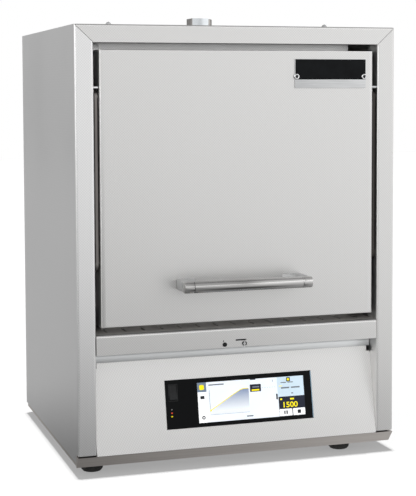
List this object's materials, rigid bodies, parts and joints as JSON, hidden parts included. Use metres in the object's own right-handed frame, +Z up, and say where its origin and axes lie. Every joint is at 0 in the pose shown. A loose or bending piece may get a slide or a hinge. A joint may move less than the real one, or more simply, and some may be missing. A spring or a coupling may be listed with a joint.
{
  "type": "dental lab furnace",
  "caption": "Bench furnace for dental ceramics: steel case, lift door on parallel arms with a tube handle, tilted touch controller, heated fibre chamber and roof exhaust.",
  "frame": {"origin": "centre of the bounding box at the bottom of the rubber feet", "axes": "+Z up, -Y towards the door and controller at the front, +X to the right seen from the front"},
  "size_m": [0.385, 0.3722, 0.523],
  "materials": {
    "textured_steel": "satin",
    "brushed_steel": "satin",
    "polished_steel": "polished",
    "dark_steel": "satin",
    "black_glass": "gloss",
    "screen": "gloss",
    "black_plastic": "matte",
    "rubber": "matte",
    "fibre_board": "matte",
    "ceramic": "matte",
    "heating_element": "matte",
    "aluminium": "satin",
    "door_plate": "gloss"
  },
  "bodies": {
    "housing": {"left_side_shell": "textured_steel", "right_side_shell": "textured_steel", "roof_panel": "textured_steel", "rear_panel": "textured_steel", "crossbar": "textured_steel", "control_panel": "textured_steel", "base_tray": "brushed_steel", "deck_plate": "brushed_steel", "left_pivot_bracket": "brushed_steel", "right_pivot_bracket": "brushed_steel", "block_casing": "brushed_steel", "front_plate": "brushed_steel", "exhaust_stub": "polished_steel", "left_roof_cap": "polished_steel", "right_roof_cap": "polished_steel", "intake_vent": "dark_steel", "transformer": "dark_steel", "controller_fascia": "black_glass", "controller_screen": "screen", "controller_housing": "black_plastic", "crossbar_plug": "black_plastic", "fan_frame": "black_plastic", "mains_inlet": "black_plastic", "front_left_foot": "rubber", "front_right_foot": "rubber", "rear_left_foot": "rubber", "rear_right_foot": "rubber", "left_insulation": "fibre_board", "right_insulation": "fibre_board", "bottom_insulation": "fibre_board", "top_insulation": "fibre_board", "rear_insulation": "fibre_board", "chamber_collar": "ceramic", "chamber_floor": "ceramic", "left_element_carrier": "ceramic", "right_element_carrier": "ceramic", "exhaust_flue": "ceramic", "thermocouple": "ceramic", "left_heating_element_1": "heating_element", "left_heating_element_2": "heating_element", "right_heating_element_1": "heating_element", "right_heating_element_2": "heating_element", "heat_sink": "aluminium"},
    "upper_arms": {"left_upper_arm": "brushed_steel", "right_upper_arm": "brushed_steel"},
    "lower_arms": {"left_lower_arm": "brushed_steel", "right_lower_arm": "brushed_steel"},
    "door": {"door_shell": "textured_steel", "door_insulation": "fibre_board", "door_back_plate": "brushed_steel", "door_plug": "fibre_board", "door_seal": "fibre_board", "handle_bar": "polished_steel", "handle_post_left": "textured_steel", "handle_post_right": "textured_steel", "door_plate": "door_plate"},
    "mains_rocker": {"mains_rocker": "black_plastic"},
    "fan_rotor": {"fan_rotor": "black_plastic"},
    "door_lock": {"door_lock_screw": "polished_steel"}
  },
  "joints": [
    {"name": "arm_lift", "type": "hinge", "parent": "housing", "child": "upper_arms", "pos_m": [0, -0.13565, 0.4265], "axis": [-1, 0, 0], "range_deg": [0, 94]},
    {"name": "lower_arm_lift", "type": "hinge", "parent": "housing", "child": "lower_arms", "pos_m": [0, -0.11165, 0.376], "axis": [-1, 0, 0], "range_deg": [0, 94]},
    {"name": "door_level", "type": "hinge", "parent": "upper_arms", "child": "door", "pos_m": [0, -0.13565, 0.2395], "axis": [-1, 0, 0], "range_deg": [-94, 0]},
    {"name": "rocker_tip", "type": "hinge", "parent": "housing", "child": "mains_rocker", "pos_m": [-0.0788, -0.1335, 0.08695], "axis": [1, 0, 0], "range_deg": [0, 14]},
    {"name": "fan_spin", "type": "hinge", "parent": "housing", "child": "fan_rotor", "pos_m": [0.06, 0.16735, 0.1], "axis": [0, 1, 0], "continuous": true},
    {"name": "lock_turn", "type": "hinge", "parent": "housing", "child": "door_lock", "pos_m": [0.004, -0.14765, 0.1418], "axis": [0, -1, 0], "range_deg": [0, 90]}
  ],
  "couplings": [
    {"joint": "lower_arm_lift", "follows": "arm_lift", "ratio": 1},
    {"joint": "door_level", "follows": "arm_lift", "ratio": -1}
  ]
}
